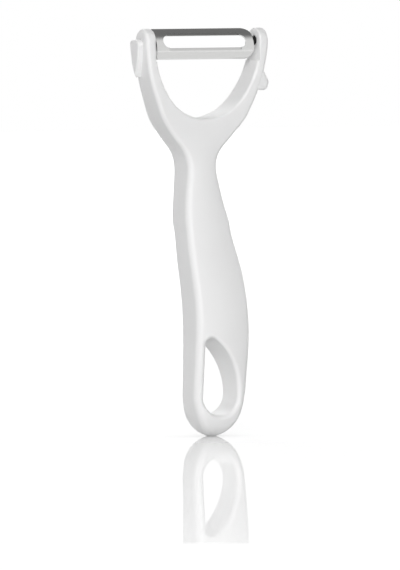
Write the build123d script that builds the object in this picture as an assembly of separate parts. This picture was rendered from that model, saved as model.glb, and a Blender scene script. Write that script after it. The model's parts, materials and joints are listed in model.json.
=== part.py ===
from build123d import *
from math import asin, atan2, cos, degrees, radians, sin, sqrt
import os

# A Y-shaped vegetable peeler, in millimetres: a one-piece moulded handle with two arms, and a slotted
# steel blade that swivels between them on two shouldered studs.
# X runs across the arms, +Y to the peeler's back, +Z from the handle's end to the blade. The parts are
# built with Z = 0 at the handle's end and X = Y = 0 on the middle of the pivot axis, and are written
# with the origin in the middle of the hanging hole's round end.

# Blade
blade_length = 46.6
strip_thickness = 0.8
strip_width = 14.8
arch_radius = 9.7
pivot_inset = 2.24
pivot_rise = 0.9
blade_tilt = 24.0
left_corner_radius = 0.8
right_corner_radius = 4.0
slot_end_margin = 3.4
slot_width = 5.4
ground_width = 1.2
ground_land = 0.2
ear_radius = 3.4

# Handle from the front
pivot_height = 164.5
fork_height = 53.5
belly_height = 42.0
end_height = 22.0
arm_thickness = 4.3
neck_width = 13.7
belly_width = 25.2
belly_sideways = 2.7
end_sideways = 1.95
end_round_width_height = 21.0

# Handle from the side
eye_radius = 5.3
neck_depth = 15.9
belly_depth = 18.0
end_depth = 16.2
end_round_depth_height = 10.3
end_flat_height = 0.15
neck_set_back = 5.0
belly_set_forward = 7.0
end_set_forward = 4.4
grip_edge_radius = 3.2
arm_edge_radius = 1.5
crown = 2.0

# Throat between the arms
throat_drop = 32.3
throat_side_step = 8.25
throat_lean = 50.25
throat_edge_radius = 1.0
relief_depth = 0.3
relief_drop = 8.3

# Hanging hole
hole_height = 16.8
hole_sideways = 2.0
hole_round_radius = 8.1
hole_side_radius = 30.0
hole_tip_radius = 2.7
hole_edge_radius = 1.5

# Fin outside the left arm
fin_rise = 0.5
fin_length = 15.6
fin_width = 7.2
fin_stand_out = 2.6
fin_root = 2.6
fin_lean = 6.5
fin_corner_radius = 1.8
fin_edge_radius = 0.7
fin_tip_share = 0.26
fin_back_share = 0.5
fin_front_share = 0.14
fin_bow_shares = (0.67, 0.62)

# Eye remover outside the right arm
nub_down = 17.0
nub_stand_out = 3.8
nub_rise = 4.6
nub_drop = 3.8
nub_undercut = 1.0
nub_root = 1.0
nub_depth = 8.0
nub_inset = 0.12
nub_tip_radius = 2.0
nub_edge_radius = 1.6

# Pivot studs
journal_radius = 1.0
journal_chamfer = 0.3
shoulder_radius = 1.9
shoulder_length = 1.9
head_radius = 1.3
head_height = 0.5
head_edge_radius = 0.25
recess_radius = 2.1
recess_depth = 1.3
bore_end_wall = 1.0

# Clearances
running_clearance = 0.05
rivet_clearance = 0.02
blade_side_gap = 1.7
end_clearance = 0.3
overrun = 5.0
edge_limit_share = 0.4
mostly_share = 0.9

half_blade = blade_length / 2
half_gap = half_blade + blade_side_gap
half_fork = half_gap + arm_thickness
neck_height = pivot_height - fork_height
top_height = pivot_height + eye_radius

# Heights in the rounded end, as shares
end_shares = (0, 0.045, 0.12, 0.23, 0.39, 0.58, 0.79)

# From belly to neck: height, width, depth, edge radius, crown, sideways and back, as shares gone
grip_shares = (
    (-0.290, 0.035, 0.79, 0.00, 0.00, 0.119, 0.066),
    (-0.174, 0.016, 0.44, 0.00, 0.00, 0.070, 0.028),
    (0.000, 0.000, 0.00, 0.00, 0.00, 0.000, 0.000),
    (0.159, 0.032, -0.14, 0.00, 0.00, 0.037, 0.054),
    (0.319, 0.072, -0.01, 0.02, 0.03, 0.193, 0.205),
    (0.478, 0.186, 0.32, 0.045, 0.08, 0.467, 0.433),
    (0.638, 0.362, 0.63, 0.08, 0.15, 0.744, 0.667),
    (0.797, 0.603, 0.84, 0.125, 0.25, 0.967, 0.854),
    (0.913, 0.857, 0.94, 0.18, 0.38, 1.081, 0.946),
    (1.000, 1.000, 1.00, 0.24, 0.50, 1.152, 0.991),
)

# From neck to pivot: the same
fork_shares = (
    (0.084, 0.022, 0.06, 0.315, 0.60, 1.189, -0.012),
    (0.159, 0.113, 0.11, 0.41, 0.70, 1.196, 0.002),
    (0.243, 0.292, 0.18, 0.545, 0.80, 1.174, 0.072),
    (0.336, 0.479, 0.27, 0.69, 0.90, 1.130, 0.198),
    (0.449, 0.648, 0.40, 0.83, 1.00, 1.074, 0.380),
    (0.561, 0.764, 0.53, 0.92, 1.00, 1.044, 0.558),
    (0.692, 0.881, 0.70, 0.99, 1.00, 1.037, 0.738),
    (0.841, 0.960, 0.90, 1.00, 1.00, 1.020, 0.914),
    (0.940, 0.993, 0.98, 1.00, 1.00, 1.000, 0.986),
    (1.000, 1.000, 1.00, 1.00, 1.00, 1.000, 1.000),
)


def between(low, high, share):
    return low + (high - low) * share


def rounding(height, round_height):
    """How full an elliptic end is at a height, as a share, 1 from the rounding's own height up."""
    left_over = max(0, 1 - height / round_height)
    return sqrt(1 - left_over ** 2)


def spread(shares, low, high):
    """Each size of a slice between two sets of sizes, given the shares of the way."""
    return [between(below, above, share) for below, above, share in zip(low, high, shares)]


def slice_sizes():
    """Height, width, depth, edge radius, crown, sideways and back of every level slice, going up."""
    belly = (belly_height, belly_width, belly_depth, grip_edge_radius, crown, belly_sideways, -belly_set_forward)
    neck = (neck_height, neck_width, neck_depth, arm_edge_radius, 0, 0, neck_set_back)
    before_neck = (neck_height, neck_width, neck_depth, grip_edge_radius, crown, belly_sideways, neck_set_back)
    pivot = (pivot_height, 2 * half_fork, 2 * eye_radius, arm_edge_radius, 0, 0, 0)
    grip = [spread(shares, belly, neck) for shares in grip_shares]
    fork = [spread(shares, before_neck, pivot) for shares in fork_shares]
    end_width, _, _, _, end_side, end_back = grip[0][1:]
    end = []
    for share in end_shares:
        height = end_height * share
        wide = rounding(height + end_flat_height, end_round_width_height)
        depth = end_depth * rounding(height + end_flat_height, end_round_depth_height)
        end.append((height, end_width * wide, depth, min(grip_edge_radius, depth * edge_limit_share),
                    crown * wide ** 2, between(end_sideways, end_side, share),
                    between(-end_set_forward, end_back, share)))
    return end + grip + fork


def slice_face(height, width, depth, edge, bulge, sideways, back):
    """A level slice of the handle: flat sides, front and back bulging a little, rounded edges."""
    half_w = width / 2
    half_d = depth / 2
    low = half_d - bulge
    with BuildSketch(Plane((sideways, back, height))) as drawn:
        with BuildLine():
            if bulge > 0:
                ThreePointArc((-half_w, -low), (0, -half_d), (half_w, -low))
                ThreePointArc((half_w, low), (0, half_d), (-half_w, low))
            else:
                Line((-half_w, -half_d), (half_w, -half_d))
                Line((half_w, half_d), (-half_w, half_d))
            Line((half_w, -low), (half_w, low))
            Line((-half_w, low), (-half_w, -low))
        make_face()
        fillet(drawn.vertices(), edge)
    return drawn.sketch


def through(outline):
    """A prism right through the peeler, from an outline drawn on the front view."""
    return extrude(Plane.XZ * outline, amount=half_fork, both=True)


def cut_through(body, outline, edge_radius):
    """Cut an outline through the handle and round its front and back edges."""
    tool = through(outline)
    opened = body - tool
    cut_edges = new_edges(body, tool, combined=opened)
    return fillet([edge for edge in cut_edges if not runs_through(edge)], edge_radius)


def runs_through(edge):
    """True for an edge that runs from front to back."""
    return abs((edge @ 1 - edge @ 0).normalized().Y) > mostly_share


def throat_outline():
    """The U between the arms: one arc round its bottom, and an arc up each side that ends upright."""
    lean_sine = sin(radians(throat_lean))
    lean_cosine = cos(radians(throat_lean))
    face = half_gap - relief_depth
    half_opening = face - throat_side_step
    bottom_height = pivot_height - throat_drop
    side_height = bottom_height + half_opening * (1 - lean_cosine) / lean_sine
    upright_height = side_height + throat_side_step * lean_cosine / (1 - lean_sine)
    open_height = top_height + overrun
    with BuildSketch() as drawn:
        with BuildLine():
            bottom = ThreePointArc((-half_opening, side_height), (0, bottom_height), (half_opening, side_height))
            right = TangentArc(bottom @ 1, (face, upright_height), tangent=bottom % 1)
            mirror(right, about=Plane.YZ)
            Polyline((face, upright_height), (face, open_height), (-face, open_height), (-face, upright_height))
        make_face()
    return drawn.sketch


def hole_outline():
    """The teardrop hole: round below, straight on the left, bowed on the right, with a small round tip."""
    left = -hole_round_radius
    right = hole_round_radius
    side_centre = right - hole_side_radius
    tip_centre_x = left + hole_tip_radius
    tip_rise = sqrt((hole_side_radius - hole_tip_radius) ** 2 - (tip_centre_x - side_centre) ** 2)
    side_end_x = side_centre + (tip_centre_x - side_centre) * hole_side_radius / (hole_side_radius - hole_tip_radius)
    side_end_rise = tip_rise * hole_side_radius / (hole_side_radius - hole_tip_radius)
    with BuildSketch(Location((hole_sideways, hole_height))) as drawn:
        with BuildLine():
            ThreePointArc((left, 0), (0, -hole_round_radius), (right, 0))
            bow = TangentArc((right, 0), (side_end_x, side_end_rise), tangent=(0, 1))
            TangentArc((side_end_x, side_end_rise), (left, tip_rise), tangent=bow % 1)
            Line((left, tip_rise), (left, 0))
        make_face()
    return drawn.sketch


def arm_eye():
    """The round top of the right arm: the arm's own section at the pivot, turned over the pivot axis."""
    with BuildSketch(Plane((0, 0, pivot_height))) as drawn:
        with Locations((half_fork, 0)):
            Rectangle(arm_thickness + throat_side_step, eye_radius, align=Align.MAX)
        fillet(drawn.vertices().group_by(Axis.Y)[0].sort_by(Axis.X)[-1], arm_edge_radius)
    return revolve(drawn.sketch, axis=Axis((0, 0, pivot_height), (-1, 0, 0)), revolution_arc=180)


def side_fin():
    """The leaf-shaped fin outside the left arm, flush with the arm's back and leaning with its side."""
    corner = (-half_fork - fin_stand_out, eye_radius, pivot_height + fin_rise)
    outward = Vector(-1, 0, 0).rotate(Axis.Y, -fin_lean)
    with BuildSketch(Plane(corner, x_dir=(0, -1, 0), z_dir=outward)) as drawn:
        with BuildLine():
            tip = (fin_width * fin_tip_share, -fin_length)
            back_turn = (0, -fin_length * fin_back_share)
            front_turn = (fin_width, -fin_length * fin_front_share)
            Polyline(back_turn, (0, 0), (fin_width, 0), front_turn)
            ThreePointArc(front_turn, (fin_width * fin_bow_shares[0], -fin_length * fin_bow_shares[1]), tip)
            TangentArc(back_turn, tip, tangent=(0, -1))
        make_face()
        fillet(drawn.vertices().group_by(Axis.Y)[-1], fin_corner_radius)
    fin = extrude(drawn.sketch, amount=-(fin_stand_out + fin_root))
    return fillet(fin.faces().sort_by(Axis.X)[0].edges(), fin_edge_radius)


def slice_at(height):
    """The slice sizes at any height, straight between the slices above and below."""
    sizes = slice_sizes()
    above = next(number for number, size in enumerate(sizes) if size[0] >= height)
    low, high = sizes[above - 1], sizes[above]
    share = (height - low[0]) / (high[0] - low[0])
    return [between(under, over, share) for under, over in zip(low, high)]


def eye_nub():
    """The blunt nub outside the right arm, just under the arm's front face, for lifting out potato eyes."""
    nub_height = pivot_height - nub_down
    _, width, depth, _, _, _, back = slice_at(nub_height)
    _, width_up, depth_up, _, _, _, back_up = slice_at(nub_height + nub_rise)
    _, width_down, _, _, _, _, _ = slice_at(nub_height - nub_drop)
    front = back - depth / 2
    rise_forward = front - (back_up - depth_up / 2)
    tilt = degrees(atan2(rise_forward, nub_rise))
    inner = width_down / 2 - nub_root
    reach = width / 2 + nub_stand_out
    face = Plane((0, front + nub_inset, nub_height), x_dir=(1, 0, 0),
                 z_dir=Vector(0, -1, 0).rotate(Axis.X, tilt))
    with BuildSketch(face) as drawn:
        with BuildLine():
            Polyline((inner, nub_rise), (width_up / 2, nub_rise), (reach, 0), (reach - nub_undercut, -nub_drop),
                     (inner, -nub_drop), (inner, nub_rise))
        make_face()
        fillet(drawn.vertices().sort_by(Axis.X)[-2:], nub_tip_radius)
    nub = extrude(drawn.sketch, amount=-nub_depth)
    rims = [edge for edge in nub.edges() if edge.center().X > inner + nub_edge_radius and not runs_through(edge)]
    return fillet(rims, nub_edge_radius)


def round_bar(radius, start, end):
    """A bar along the right arm's pivot axis, between two places across the peeler."""
    return Plane((start, 0, pivot_height), z_dir=(1, 0, 0)) * Cylinder(
        radius, end - start, align=(Align.CENTER, Align.CENTER, Align.MIN))


def make_handle():
    right_eye = arm_eye()
    body = loft([slice_face(*sizes) for sizes in slice_sizes()])
    body = body + [right_eye, mirror(right_eye, about=Plane.YZ)]
    body = cut_through(body, throat_outline(), throat_edge_radius)
    body = cut_through(body, hole_outline(), hole_edge_radius)
    body = body + [side_fin(), eye_nub()]
    relief = Box(2 * half_gap, 2 * half_fork, relief_drop + eye_radius + overrun,
                 align=(Align.CENTER, Align.CENTER, Align.MIN))
    body = body - Location((0, 0, pivot_height - relief_drop)) * relief
    bore_end = half_fork - bore_end_wall
    for side in (Plane.XY, Plane.XY.rotated((0, 0, 180))):
        recess = round_bar(recess_radius, half_gap - overrun, half_gap + recess_depth)
        bore = round_bar(journal_radius + running_clearance, half_gap - overrun, bore_end)
        body = body - side * recess - side * bore
    return body


def blade_plane(across):
    """The plane across the blade's arch: local X points out of the arch's middle, local Y up its face."""
    outward = Vector(0, -1, 0).rotate(Axis.X, -blade_tilt)
    up_face = Vector(0, 0, 1).rotate(Axis.X, -blade_tilt)
    centre = Vector(across, 0, pivot_height) - outward * (arch_radius - pivot_inset) - up_face * pivot_rise
    return Plane(centre, x_dir=outward, z_dir=(-1, 0, 0))


def on_arch(radius, turn):
    """A point of the arch's section, at a radius and a turn in degrees from its middle."""
    return (radius * cos(radians(turn)), radius * sin(radians(turn)))


def facing_plane():
    """The plane that faces the arch's middle from its centre: local X across the peeler, local Y up."""
    return Plane(blade_plane(0).origin, x_dir=(1, 0, 0), z_dir=blade_plane(0).x_dir)


def arched_strip():
    """The strip before its slot is cut: half a tube trimmed to a rounded outline seen face on."""
    with BuildSketch(blade_plane(half_blade)) as ring:
        Circle(arch_radius)
        Circle(arch_radius - strip_thickness, mode=Mode.SUBTRACT)
    half_face = arch_radius * sin(strip_width / arch_radius / 2)
    with BuildSketch(facing_plane()) as outline:
        Rectangle(blade_length, 2 * half_face)
        corners = outline.vertices().sort_by(Axis.X)
        fillet(corners[:2], left_corner_radius)
        fillet(outline.vertices().sort_by(Axis.X)[-2:], right_corner_radius)
    return extrude(ring.sketch, amount=blade_length) & extrude(outline.sketch, amount=arch_radius + overrun)


def slot_tool():
    """What the slot takes out of the strip, with the ground faces beside both long edges."""
    inner_radius = arch_radius - strip_thickness
    half_slot = slot_width / 2
    slot_length = blade_length - 2 * slot_end_margin
    with BuildSketch(facing_plane()) as drawn:
        SlotOverall(slot_length, slot_width)
    slot = extrude(drawn.sketch, amount=arch_radius + overrun)
    edge_turn = degrees(asin(half_slot / arch_radius))
    land_radius = inner_radius + ground_land
    ground_turn = edge_turn + degrees(ground_width / arch_radius)
    land_turn = degrees(asin(half_slot / land_radius))
    straight = slot_length - slot_width
    with BuildSketch(blade_plane(straight / 2)) as ground:
        with BuildLine():
            Polyline(on_arch(land_radius, land_turn), on_arch(arch_radius, ground_turn),
                     on_arch(arch_radius + overrun, ground_turn), on_arch(arch_radius + overrun, 0),
                     on_arch(land_radius, 0), on_arch(land_radius, land_turn))
        make_face()
        mirror(about=Plane.XZ)
    return slot + extrude(ground.sketch, amount=straight)


def blade_ear(across):
    """One ear: a flat tab from the strip's end back round the pivot, with the bore for its stud."""
    with BuildSketch(blade_plane(across + strip_thickness / 2)) as drawn:
        Circle(arch_radius)
        with BuildSketch(blade_plane(across + strip_thickness / 2), mode=Mode.INTERSECT):
            pivot = blade_plane(0).to_local_coords(Vector(0, 0, pivot_height))
            with Locations((pivot.X, 0)):
                Circle(ear_radius)
            with Locations(((pivot.X + arch_radius) / 2, 0)):
                Rectangle(arch_radius - pivot.X, 2 * ear_radius)
    return extrude(drawn.sketch, amount=strip_thickness)


def make_blade():
    blade = arched_strip() - slot_tool()
    middle = half_blade - strip_thickness / 2
    blade = blade + [blade_ear(middle), blade_ear(-middle)]
    hole = round_bar(journal_radius + rivet_clearance, -half_fork, half_fork)
    return blade - hole


def make_stud():
    """The right stud: a peened head inside the ear, a shoulder outside it, and the journal in the arm."""
    ear_inside = half_blade - strip_thickness
    head = round_bar(head_radius, ear_inside - head_height, ear_inside)
    head = fillet(head.edges().sort_by(Axis.X)[0], head_edge_radius)
    journal = round_bar(journal_radius, ear_inside - head_height / 2, half_fork - bore_end_wall - end_clearance)
    journal = chamfer(journal.edges().sort_by(Axis.X)[-1], journal_chamfer)
    shoulder = round_bar(shoulder_radius, half_blade, half_blade + shoulder_length)
    return head + journal + shoulder


def main():
    os.makedirs("parts", exist_ok=True)
    stud = make_stud()
    pieces = {
        "handle": make_handle(),
        "blade": make_blade(),
        "pivot_stud_right": stud,
        "pivot_stud_left": mirror(stud, about=Plane.YZ),
    }
    hole_depth = slice_at(hole_height)
    to_origin = Location((-hole_sideways, -hole_depth[-1], -hole_height))
    for name, piece in pieces.items():
        placed = to_origin * piece
        placed.label = name
        export_step(placed, f"parts/{name}.step")


main()
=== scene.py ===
# %% [markdown]
# # A white vegetable peeler on a glossy light table
# The shape comes from the CAD model. This script adds what the photograph shows beside shape: the moulded
# plastic, the polished and ground steel, the white table with its mirror image, the studio light and the
# camera. Lengths are in metres, and the sizes that patterns are scaled by are the peeler's real ones.

import json
from math import cos, radians, sin

import bpy
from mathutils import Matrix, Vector


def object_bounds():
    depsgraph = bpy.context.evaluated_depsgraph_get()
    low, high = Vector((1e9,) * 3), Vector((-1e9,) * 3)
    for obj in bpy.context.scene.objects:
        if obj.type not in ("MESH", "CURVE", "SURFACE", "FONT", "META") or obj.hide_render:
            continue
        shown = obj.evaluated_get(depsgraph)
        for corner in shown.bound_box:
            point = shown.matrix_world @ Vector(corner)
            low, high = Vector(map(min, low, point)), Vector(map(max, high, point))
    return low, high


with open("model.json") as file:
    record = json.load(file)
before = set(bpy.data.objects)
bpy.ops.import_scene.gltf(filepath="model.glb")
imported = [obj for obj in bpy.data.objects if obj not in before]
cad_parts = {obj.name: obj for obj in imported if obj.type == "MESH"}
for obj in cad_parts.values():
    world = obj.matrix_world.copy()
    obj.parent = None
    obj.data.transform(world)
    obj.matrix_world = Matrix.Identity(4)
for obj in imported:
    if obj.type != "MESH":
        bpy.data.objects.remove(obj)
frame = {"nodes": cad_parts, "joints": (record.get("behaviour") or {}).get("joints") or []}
nodes = frame["nodes"]
before = [list(corner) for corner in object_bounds()]
scene = bpy.context.scene
scene.view_settings.view_transform = "Standard"
mm = 0.001
print("nodes:", sorted(nodes))
print("bounds:", before)

# %% [markdown]
# ## Helpers
# Colours are written as they look on a screen and turned into light amounts in one place. Every shader
# node is added by one function, which sets the inputs that are named.


# %% Colour and node helpers
def linearise(hex_colour):
    """A screen colour such as #D8D8D8 as linear red, green, blue and alpha."""
    channels = [int(hex_colour[i:i + 2], 16) / 255 for i in (1, 3, 5)]
    return [c / 12.92 if c <= 0.04045 else ((c + 0.055) / 1.055) ** 2.4 for c in channels] + [1.0]


def add(tree, kind, inputs=None, **settings):
    """Add a node, set its properties, and fill or link its inputs by name or number."""
    node = tree.nodes.new(kind)
    for name, value in settings.items():
        setattr(node, name, value)
    for name, value in (inputs or {}).items():
        if isinstance(value, bpy.types.NodeSocket):
            tree.links.new(value, node.inputs[name])
        else:
            node.inputs[name].default_value = value
    return node


def new_material(name):
    material = bpy.data.materials.new(name)
    material.use_nodes = True
    material.node_tree.nodes.clear()
    return material, material.node_tree


def give(piece, material):
    """Put one material on a CAD piece."""
    piece.data.materials.clear()
    piece.data.materials.append(material)
    print(piece.name, "->", material.name)


print("paper white is", [round(c, 3) for c in linearise("#FFFFFF")])

# %% [markdown]
# ## Handle plastic
# The handle is white moulded polypropylene with a satin gloss. A mould is never perfectly flat: the skin
# waves by a few hundredths of a millimetre every centimetre or so, which breaks up the reflections, and has a
# fine texture that makes them soft. Light enters the plastic for two or three millimetres and comes out
# again, which brightens its hollows and softens its edges. The texture is drawn coarser than the real one.

# %% Handle plastic
wave_length = 12 * mm
grain_size = 0.35 * mm
light_depth = 2.5 * mm

plastic, tree = new_material("white_moulded_polypropylene")
place = add(tree, "ShaderNodeTexCoord")
waves = add(tree, "ShaderNodeTexNoise", {"Vector": place.outputs["Object"], "Scale": 1 / wave_length, "Detail": 1.0})
grain = add(tree, "ShaderNodeTexNoise", {"Vector": place.outputs["Object"], "Scale": 1 / grain_size, "Detail": 2.0})
wave_bump = add(tree, "ShaderNodeBump", {"Height": waves.outputs["Fac"], "Strength": 0.5, "Distance": 0.06 * mm})
grain_bump = add(tree, "ShaderNodeBump", {"Height": grain.outputs["Fac"], "Strength": 0.25, "Distance": 0.004 * mm,
                                          "Normal": wave_bump.outputs["Normal"]})
skin = add(tree, "ShaderNodeBsdfPrincipled", {
    "Base Color": linearise("#EEEEEE"), "Roughness": 0.5, "IOR": 1.5, "Subsurface Weight": 0.6,
    "Subsurface Radius": (1.0, 1.0, 1.0), "Subsurface Scale": light_depth, "Normal": grain_bump.outputs["Normal"]})
add(tree, "ShaderNodeOutputMaterial", {"Surface": skin.outputs["BSDF"]})
give(nodes["handle"], plastic)

# %% [markdown]
# ## Blade steel
# The strip is polished stainless with faint lines along its length from rolling. Beside the slot a narrow
# band is ground, with its lines across the edge. The band is found from the blade's own directions: across
# the peeler, and up the blade's tilted face. It is duller, because its scratches throw some light aside.
# Its colour is also a little darker, which is painted shade for the dark ceiling that the bevel would mirror.
# Otherwise it reflects the same as the strip beside it, as in the photograph, so it is shaded as if it
# followed the strip's arch. Both sets of lines are drawn a few times coarser than the real ones, so that
# they show.

# %% Blade steel
pivot = Vector(frame["joints"][0]["pos_m"])
blade_tilt = radians(24.0)
out_of_face = Vector((0, -cos(blade_tilt), sin(blade_tilt)))
up_face = Vector((0, sin(blade_tilt), cos(blade_tilt)))
arch_behind_pivot = 7.46 * mm
arch_below_pivot = 0.9 * mm
arch_centre = pivot - out_of_face * arch_behind_pivot - up_face * arch_below_pivot
ground_half_width = 3.95 * mm
ground_half_length = 17.5 * mm
ground_radius = 9.15 * mm
rolling_lines = 0.12 * mm
grinding_lines = 0.1 * mm

steel, tree = new_material("polished_stainless_blade")
place = add(tree, "ShaderNodeTexCoord")
from_centre = add(tree, "ShaderNodeVectorMath", {0: place.outputs["Object"], 1: arch_centre}, operation="SUBTRACT")
height = add(tree, "ShaderNodeVectorMath", {0: from_centre.outputs["Vector"], 1: up_face}, operation="DOT_PRODUCT")
off_middle = add(tree, "ShaderNodeMath", {0: height.outputs["Value"]}, operation="ABSOLUTE")
in_band = add(tree, "ShaderNodeMath", {0: off_middle.outputs["Value"], 1: ground_half_width}, operation="LESS_THAN")
across = add(tree, "ShaderNodeSeparateXYZ", {"Vector": from_centre.outputs["Vector"]})
off_end = add(tree, "ShaderNodeMath", {0: across.outputs["X"]}, operation="ABSOLUTE")
in_length = add(tree, "ShaderNodeMath", {0: off_end.outputs["Value"], 1: ground_half_length}, operation="LESS_THAN")
spoke = add(tree, "ShaderNodeVectorMath", {0: from_centre.outputs["Vector"], 1: (0, 1, 1)}, operation="MULTIPLY")
radius = add(tree, "ShaderNodeVectorMath", {0: spoke.outputs["Vector"]}, operation="LENGTH")
outside = add(tree, "ShaderNodeMath", {0: radius.outputs["Value"], 1: ground_radius}, operation="GREATER_THAN")
ground_across = add(tree, "ShaderNodeMath", {0: in_band.outputs["Value"], 1: in_length.outputs["Value"]},
                    operation="MULTIPLY")
ground_band_and_painted_shade = add(tree, "ShaderNodeMath", {0: ground_across.outputs["Value"], 1: outside.outputs["Value"]},
             operation="MULTIPLY")
along = add(tree, "ShaderNodeVectorMath", {0: place.outputs["Object"], 1: (0.03, 1.0, 1.0)}, operation="MULTIPLY")
lines = add(tree, "ShaderNodeTexNoise", {"Vector": along.outputs["Vector"], "Scale": 1 / rolling_lines, "Detail": 2.0})
crossways = add(tree, "ShaderNodeVectorMath", {0: place.outputs["Object"], 1: (1.0, 0.05, 0.05)},
                operation="MULTIPLY")
scratches = add(tree, "ShaderNodeTexNoise", {"Vector": crossways.outputs["Vector"], "Scale": 1 / grinding_lines,
                                             "Detail": 2.0})
relief = add(tree, "ShaderNodeMix", {0: ground_band_and_painted_shade.outputs["Value"], 2: lines.outputs["Fac"],
                                     3: scratches.outputs["Fac"]}, data_type="FLOAT")
real = add(tree, "ShaderNodeNewGeometry")
arched = add(tree, "ShaderNodeVectorTransform", {"Vector": spoke.outputs["Vector"]}, vector_type="NORMAL",
             convert_from="OBJECT", convert_to="WORLD")
facing = add(tree, "ShaderNodeMix", {0: ground_band_and_painted_shade.outputs["Value"], 4: real.outputs["Normal"],
                                     5: arched.outputs["Vector"]}, data_type="VECTOR")
bump = add(tree, "ShaderNodeBump", {"Height": relief.outputs[0], "Strength": 0.2, "Distance": 0.004 * mm,
                                    "Normal": facing.outputs[1]})
roughness = add(tree, "ShaderNodeMix", {0: ground_band_and_painted_shade.outputs["Value"], 2: 0.2, 3: 0.34}, data_type="FLOAT")
# The ground band's darker colour is painted shade for the dark ceiling its bevel would mirror; its roughness and
# scratches are real grinding.
colour = add(tree, "ShaderNodeMix", {0: ground_band_and_painted_shade.outputs["Value"], 6: linearise("#D2D2D1"),
                                     7: linearise("#C1C1C0")}, data_type="RGBA")
metal = add(tree, "ShaderNodeBsdfPrincipled", {
    "Base Color": colour.outputs[2], "Metallic": 1.0, "Roughness": roughness.outputs[0],
    "Normal": bump.outputs["Normal"]})
add(tree, "ShaderNodeOutputMaterial", {"Surface": metal.outputs["BSDF"]})
give(nodes["blade"], steel)
print("arch centre", [round(v, 5) for v in arch_centre])

# %% [markdown]
# ## Stud steel
# The studs are turned stainless and sit deep in the arms. Their colour is painted nearly black, which is
# painted shade for the deep recesses round them. Turning leaves fine rings on them, which change only along
# the axis and are drawn coarser than the real ones.

# %% Stud steel
ring_spacing = 0.15 * mm

stud_steel_in_painted_shade, tree = new_material("turned_stainless_stud_painted_shade")
place = add(tree, "ShaderNodeTexCoord")
along_axis = add(tree, "ShaderNodeVectorMath", {0: place.outputs["Object"], 1: (1.0, 0.04, 0.04)},
                 operation="MULTIPLY")
rings = add(tree, "ShaderNodeTexNoise", {"Vector": along_axis.outputs["Vector"], "Scale": 1 / ring_spacing})
bump = add(tree, "ShaderNodeBump", {"Height": rings.outputs["Fac"], "Strength": 0.2, "Distance": 0.004 * mm})
# The nearly black base colour is painted shade of the recesses, not the steel's own colour.
metal = add(tree, "ShaderNodeBsdfPrincipled", {
    "Base Color": linearise("#303030"), "Metallic": 1.0, "Roughness": 0.3, "Normal": bump.outputs["Normal"]})
add(tree, "ShaderNodeOutputMaterial", {"Surface": metal.outputs["BSDF"]})
give(nodes["pivot_stud_left"], stud_steel_in_painted_shade)
give(nodes["pivot_stud_right"], stud_steel_in_painted_shade)

# %% [markdown]
# ## Camera
# The photograph was taken 30 degrees to the left of the front, about 2 degrees above level, and from far
# enough that both arms look equally long. The frame is 237.5 mm tall at the peeler.

# %% Camera
distance = 6.0
frame_height = 237.5 * mm
sensor_width = 36
aim_above_foot = 62.8 * mm
aim_left_of_pivot = 0.83 * mm
camera_turn = radians(-30.0)
camera_rise = radians(2.2)
level = Vector((sin(camera_turn), -cos(camera_turn), 0))
back = level * cos(camera_rise) + Vector((0, 0, sin(camera_rise)))
right = Vector((cos(camera_turn), sin(camera_turn), 0))
foot = before[0][2]
aim = Vector((pivot.x, pivot.y, foot + aim_above_foot)) - right * aim_left_of_pivot
lens = bpy.data.cameras.new("camera")
lens.sensor_width = sensor_width
lens.lens = sensor_width * distance / frame_height
camera = bpy.data.objects.new("camera", lens)
camera.location = aim + back * distance
camera.rotation_euler = (-back).to_track_quat("-Z", "Y").to_euler()
scene.collection.objects.link(camera)
scene.camera = camera
print("camera at", [round(v, 3) for v in camera.location], "lens", round(lens.lens, 1))

# %% [markdown]
# ## Light table
# The peeler stands on a white glossy board, lit from below as well as from the studio. Like any smooth board
# it is a mirror only at a low angle, which the Fresnel node gives. The mirror image of the handle grows
# fainter towards the photograph's camera and ends after about 0.8 metres. That direction is fixed, so from
# other sides it fades another way. The glow from below is weaker where the lamps add more and stronger far
# off, so that the board looks evenly white, and it is shaded close round the foot. Matt surfaces get little
# of that glow: it is there for the camera and for reflections.

# %% Light table
board_size = 8.0
image_fades = 0.8
foot_shadow = 0.03

bpy.ops.mesh.primitive_plane_add(size=board_size, location=(0, 0, foot))
table = bpy.context.object
table.name = "light_table"
board, tree = new_material("white_acrylic_board")
place = add(tree, "ShaderNodeTexCoord")
to_camera = add(tree, "ShaderNodeVectorMath", {0: place.outputs["Object"], 1: level}, operation="DOT_PRODUCT")
fade = add(tree, "ShaderNodeMapRange", {"Value": to_camera.outputs["Value"], "From Min": 0.0, "From Max": image_fades,
                                        "To Min": 0.9, "To Max": 0.53})
edge = add(tree, "ShaderNodeMapRange", {"Value": to_camera.outputs["Value"], "From Min": 0.785, "From Max": 0.805,
                                        "To Min": 1.0, "To Max": 0.0})
faded = add(tree, "ShaderNodeMath", {0: fade.outputs["Result"], 1: edge.outputs["Result"]}, operation="MULTIPLY")
grazing = add(tree, "ShaderNodeFresnel", {"IOR": 1.5})
gloss = add(tree, "ShaderNodeMath", {0: faded.outputs["Value"], 1: grazing.outputs["Fac"]}, operation="MULTIPLY")
from_below = add(tree, "ShaderNodeMapRange", {"Value": to_camera.outputs["Value"], "From Min": -board_size / 2,
                                              "From Max": board_size / 2, "To Min": 1.08, "To Max": 0.13})
far_off = add(tree, "ShaderNodeVectorMath", {0: place.outputs["Object"]}, operation="LENGTH")
at_rim = add(tree, "ShaderNodeMapRange", {"Value": far_off.outputs["Value"], "From Min": 1.0, "From Max": 3.0,
                                          "To Min": 0.0, "To Max": 0.7})
all_below = add(tree, "ShaderNodeMath", {0: from_below.outputs["Result"], 1: at_rim.outputs["Result"]},
                operation="ADD")
shade = add(tree, "ShaderNodeAmbientOcclusion", {"Distance": foot_shadow}, samples=16)
shaded_glow = add(tree, "ShaderNodeMath", {0: all_below.outputs["Value"], 1: shade.outputs["AO"]},
               operation="MULTIPLY")
path = add(tree, "ShaderNodeLightPath")
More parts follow.
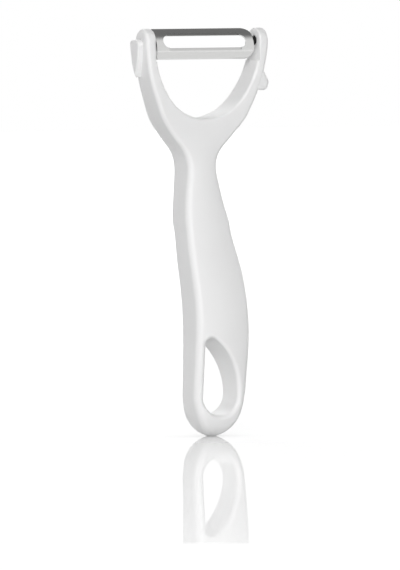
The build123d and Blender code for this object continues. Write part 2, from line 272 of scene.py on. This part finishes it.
mirrored_too = add(tree, "ShaderNodeMath", {0: path.outputs["Is Camera Ray"], 1: path.outputs["Is Glossy Ray"]},
                   operation="MAXIMUM")
looked_at = add(tree, "ShaderNodeMath", {0: mirrored_too.outputs["Value"], 1: path.outputs["Is Transmission Ray"]},
                operation="MAXIMUM")
strength = add(tree, "ShaderNodeMix", {0: looked_at.outputs["Value"], 2: 0.1,
                                       3: shaded_glow.outputs["Value"]}, data_type="FLOAT")
matte = add(tree, "ShaderNodeBsdfDiffuse", {"Color": linearise("#D2D2D2")})
glow = add(tree, "ShaderNodeEmission", {"Color": linearise("#FFFFFF"), "Strength": strength.outputs[0]})
lit = add(tree, "ShaderNodeAddShader", {0: matte.outputs["BSDF"], 1: glow.outputs["Emission"]})
mirror = add(tree, "ShaderNodeBsdfGlossy", {"Color": linearise("#FFFFFF"), "Roughness": 0.02})
surface = add(tree, "ShaderNodeMixShader", {0: gloss.outputs["Value"], 1: lit.outputs["Shader"],
                                            2: mirror.outputs["BSDF"]})
add(tree, "ShaderNodeOutputMaterial", {"Surface": surface.outputs["Shader"]})
table.data.materials.append(board)
print("board at", round(foot, 4))

# %% [markdown]
# ## Studio
# A white tent surrounds the table. The camera sees it as plain white. Mirrors see it white round the horizon
# and dark overhead, which is what the arched blade shows on its upper half. The soft light that it gives to
# matt surfaces comes mostly from above. A softbox at the left front models the handle, and a strip at the right
# lights its far rim. A weaker softbox lights its back, from so high that the glossy board doesn't throw it
# into the camera.

# %% White tent
world = bpy.data.worlds.new("white_tent")
scene.world = world
world.use_nodes = True
tree = world.node_tree
tree.nodes.clear()
direction = add(tree, "ShaderNodeTexCoord")
ceiling = Vector((0, 0.35, 0.94))
ceiling_begins = 0.45
ceiling_full = 0.7
towards_ceiling = add(tree, "ShaderNodeVectorMath", {0: direction.outputs["Generated"], 1: ceiling},
                      operation="DOT_PRODUCT")
lighting = add(tree, "ShaderNodeMapRange", {"Value": towards_ceiling.outputs["Value"], "From Min": ceiling_begins,
                                            "From Max": ceiling_full, "To Min": 0.1, "To Max": 0.4})
mirrored = add(tree, "ShaderNodeMapRange", {"Value": towards_ceiling.outputs["Value"], "From Min": ceiling_begins,
                                            "From Max": ceiling_full, "To Min": 1.0, "To Max": 0.21})
path = add(tree, "ShaderNodeLightPath")
by_gloss = add(tree, "ShaderNodeMix", {0: path.outputs["Is Glossy Ray"], 2: lighting.outputs["Result"],
                                       3: mirrored.outputs["Result"]}, data_type="FLOAT")
straight = add(tree, "ShaderNodeMath", {0: path.outputs["Is Camera Ray"], 1: path.outputs["Is Transmission Ray"]},
               operation="MAXIMUM")
seen = add(tree, "ShaderNodeMix", {0: straight.outputs["Value"], 2: by_gloss.outputs[0], 3: 1.0},
           data_type="FLOAT")
sky = add(tree, "ShaderNodeBackground", {"Color": linearise("#FFFFFF"), "Strength": seen.outputs[0]})
add(tree, "ShaderNodeOutputWorld", {"Surface": sky.outputs["Background"]})


# %% Softboxes
lit_height = 0.07


def softbox(name, turn, height, reach, width, tall, power):
    """An area light aimed at the peeler: turn in degrees round it, with 0 in front and -90 at the left."""
    lamp = bpy.data.lights.new(name, "AREA")
    lamp.shape = "RECTANGLE"
    lamp.size = width
    lamp.size_y = tall
    lamp.energy = power
    box = bpy.data.objects.new(name, lamp)
    angle = radians(turn)
    target = Vector((0, 0, lit_height))
    box.location = target + Vector((sin(angle) * reach, -cos(angle) * reach, height))
    box.rotation_euler = (box.location - target).to_track_quat("Z", "Y").to_euler()
    scene.collection.objects.link(box)
    print(name, "at", [round(v, 2) for v in box.location], power, "W")


softbox("left_softbox", -33, 1.0, 3.0, 1.5, 2.0, 71.0)
softbox("right_strip", 118, 0.5, 2.5, 0.75, 2.0, 16.0)
softbox("back_softbox", 168, 2.3, 3.0, 1.5, 1.0, 30.0)
